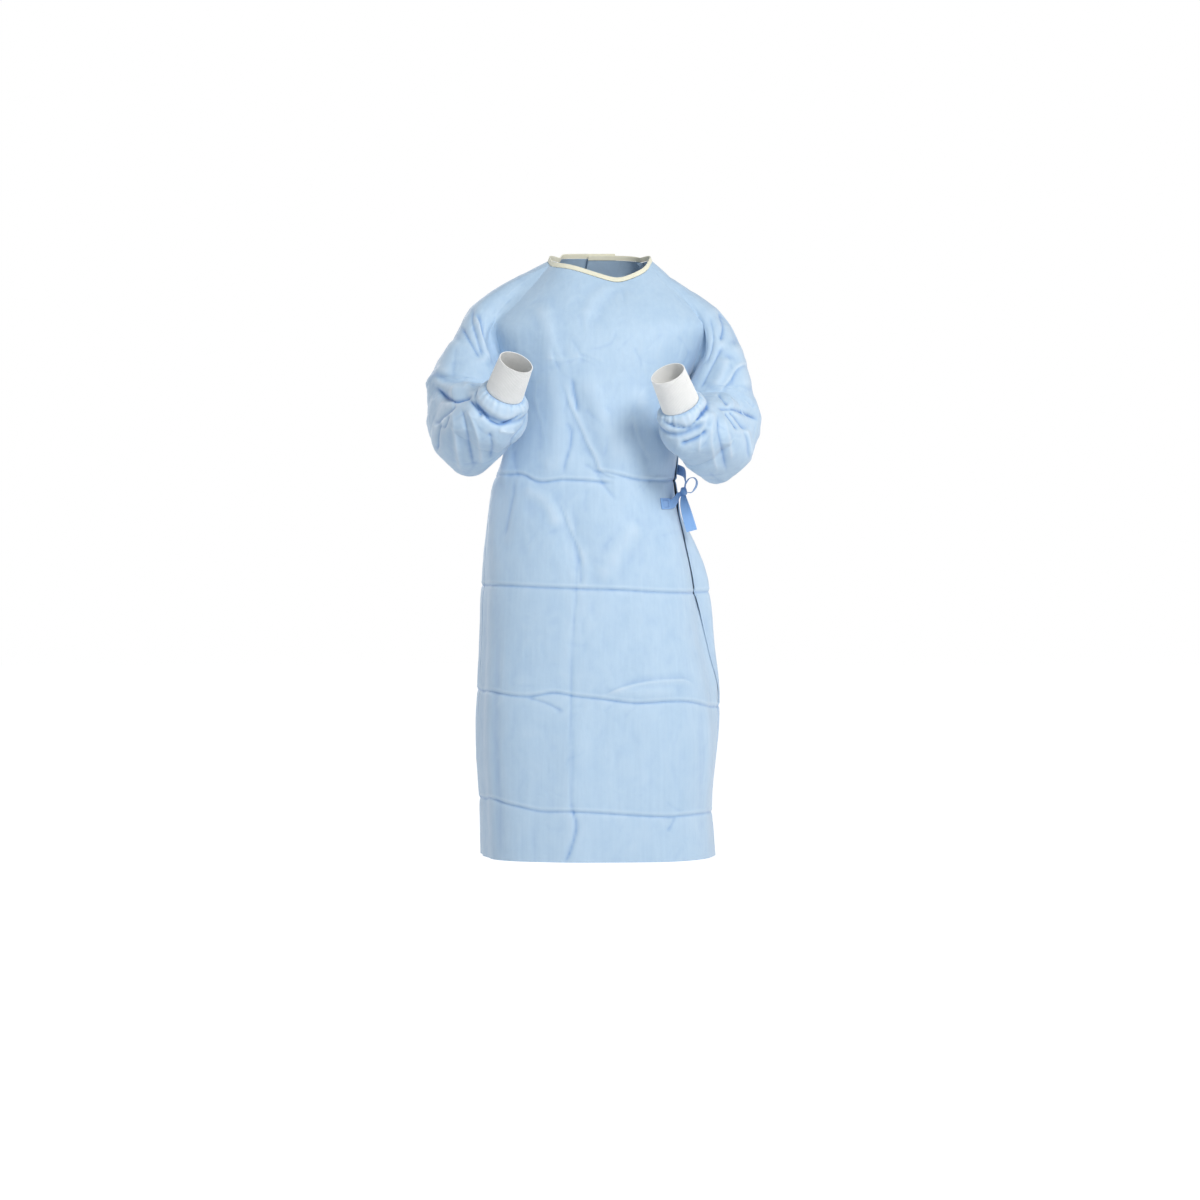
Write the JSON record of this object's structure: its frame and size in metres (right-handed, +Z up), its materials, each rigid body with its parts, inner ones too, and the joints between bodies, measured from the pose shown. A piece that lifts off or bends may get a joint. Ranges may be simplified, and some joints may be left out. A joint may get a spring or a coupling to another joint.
{
  "type": "surgical gown",
  "caption": "Worn wrap-back surgical gown, hollow, with bent raglan sleeves, knitted cuffs, bound neck and a tie at the waist.",
  "frame": {"origin": "middle of the neck opening at the height of the shoulder points, where the wearer's shoulders carry the gown", "axes": "+Z up from hem to neck, -Y the way the front of the gown faces, +X towards the wearer's left, the side that the waist tie closes"},
  "size_m": [0.6432, 0.5096, 1.1804],
  "materials": {
    "gown_cloth": "matt pale blue non-woven cloth",
    "cuff_knit": "white ribbed knit",
    "neck_tape": "cream binding tape",
    "tie_cloth": "folded blue non-woven tape"
  },
  "bodies": {
    "root": {"front_panel": "gown_cloth", "back_panel_inner": "gown_cloth", "back_panel_outer": "gown_cloth", "sleeve_left": "gown_cloth", "sleeve_right": "gown_cloth", "cuff_left": "cuff_knit", "cuff_right": "cuff_knit", "neck_binding": "neck_tape", "tie_front_tab": "tie_cloth", "tie_back": "tie_cloth", "tie_knot": "tie_cloth", "tie_loop": "tie_cloth", "tie_hanging_end": "tie_cloth"}
  },
  "joints": []
}
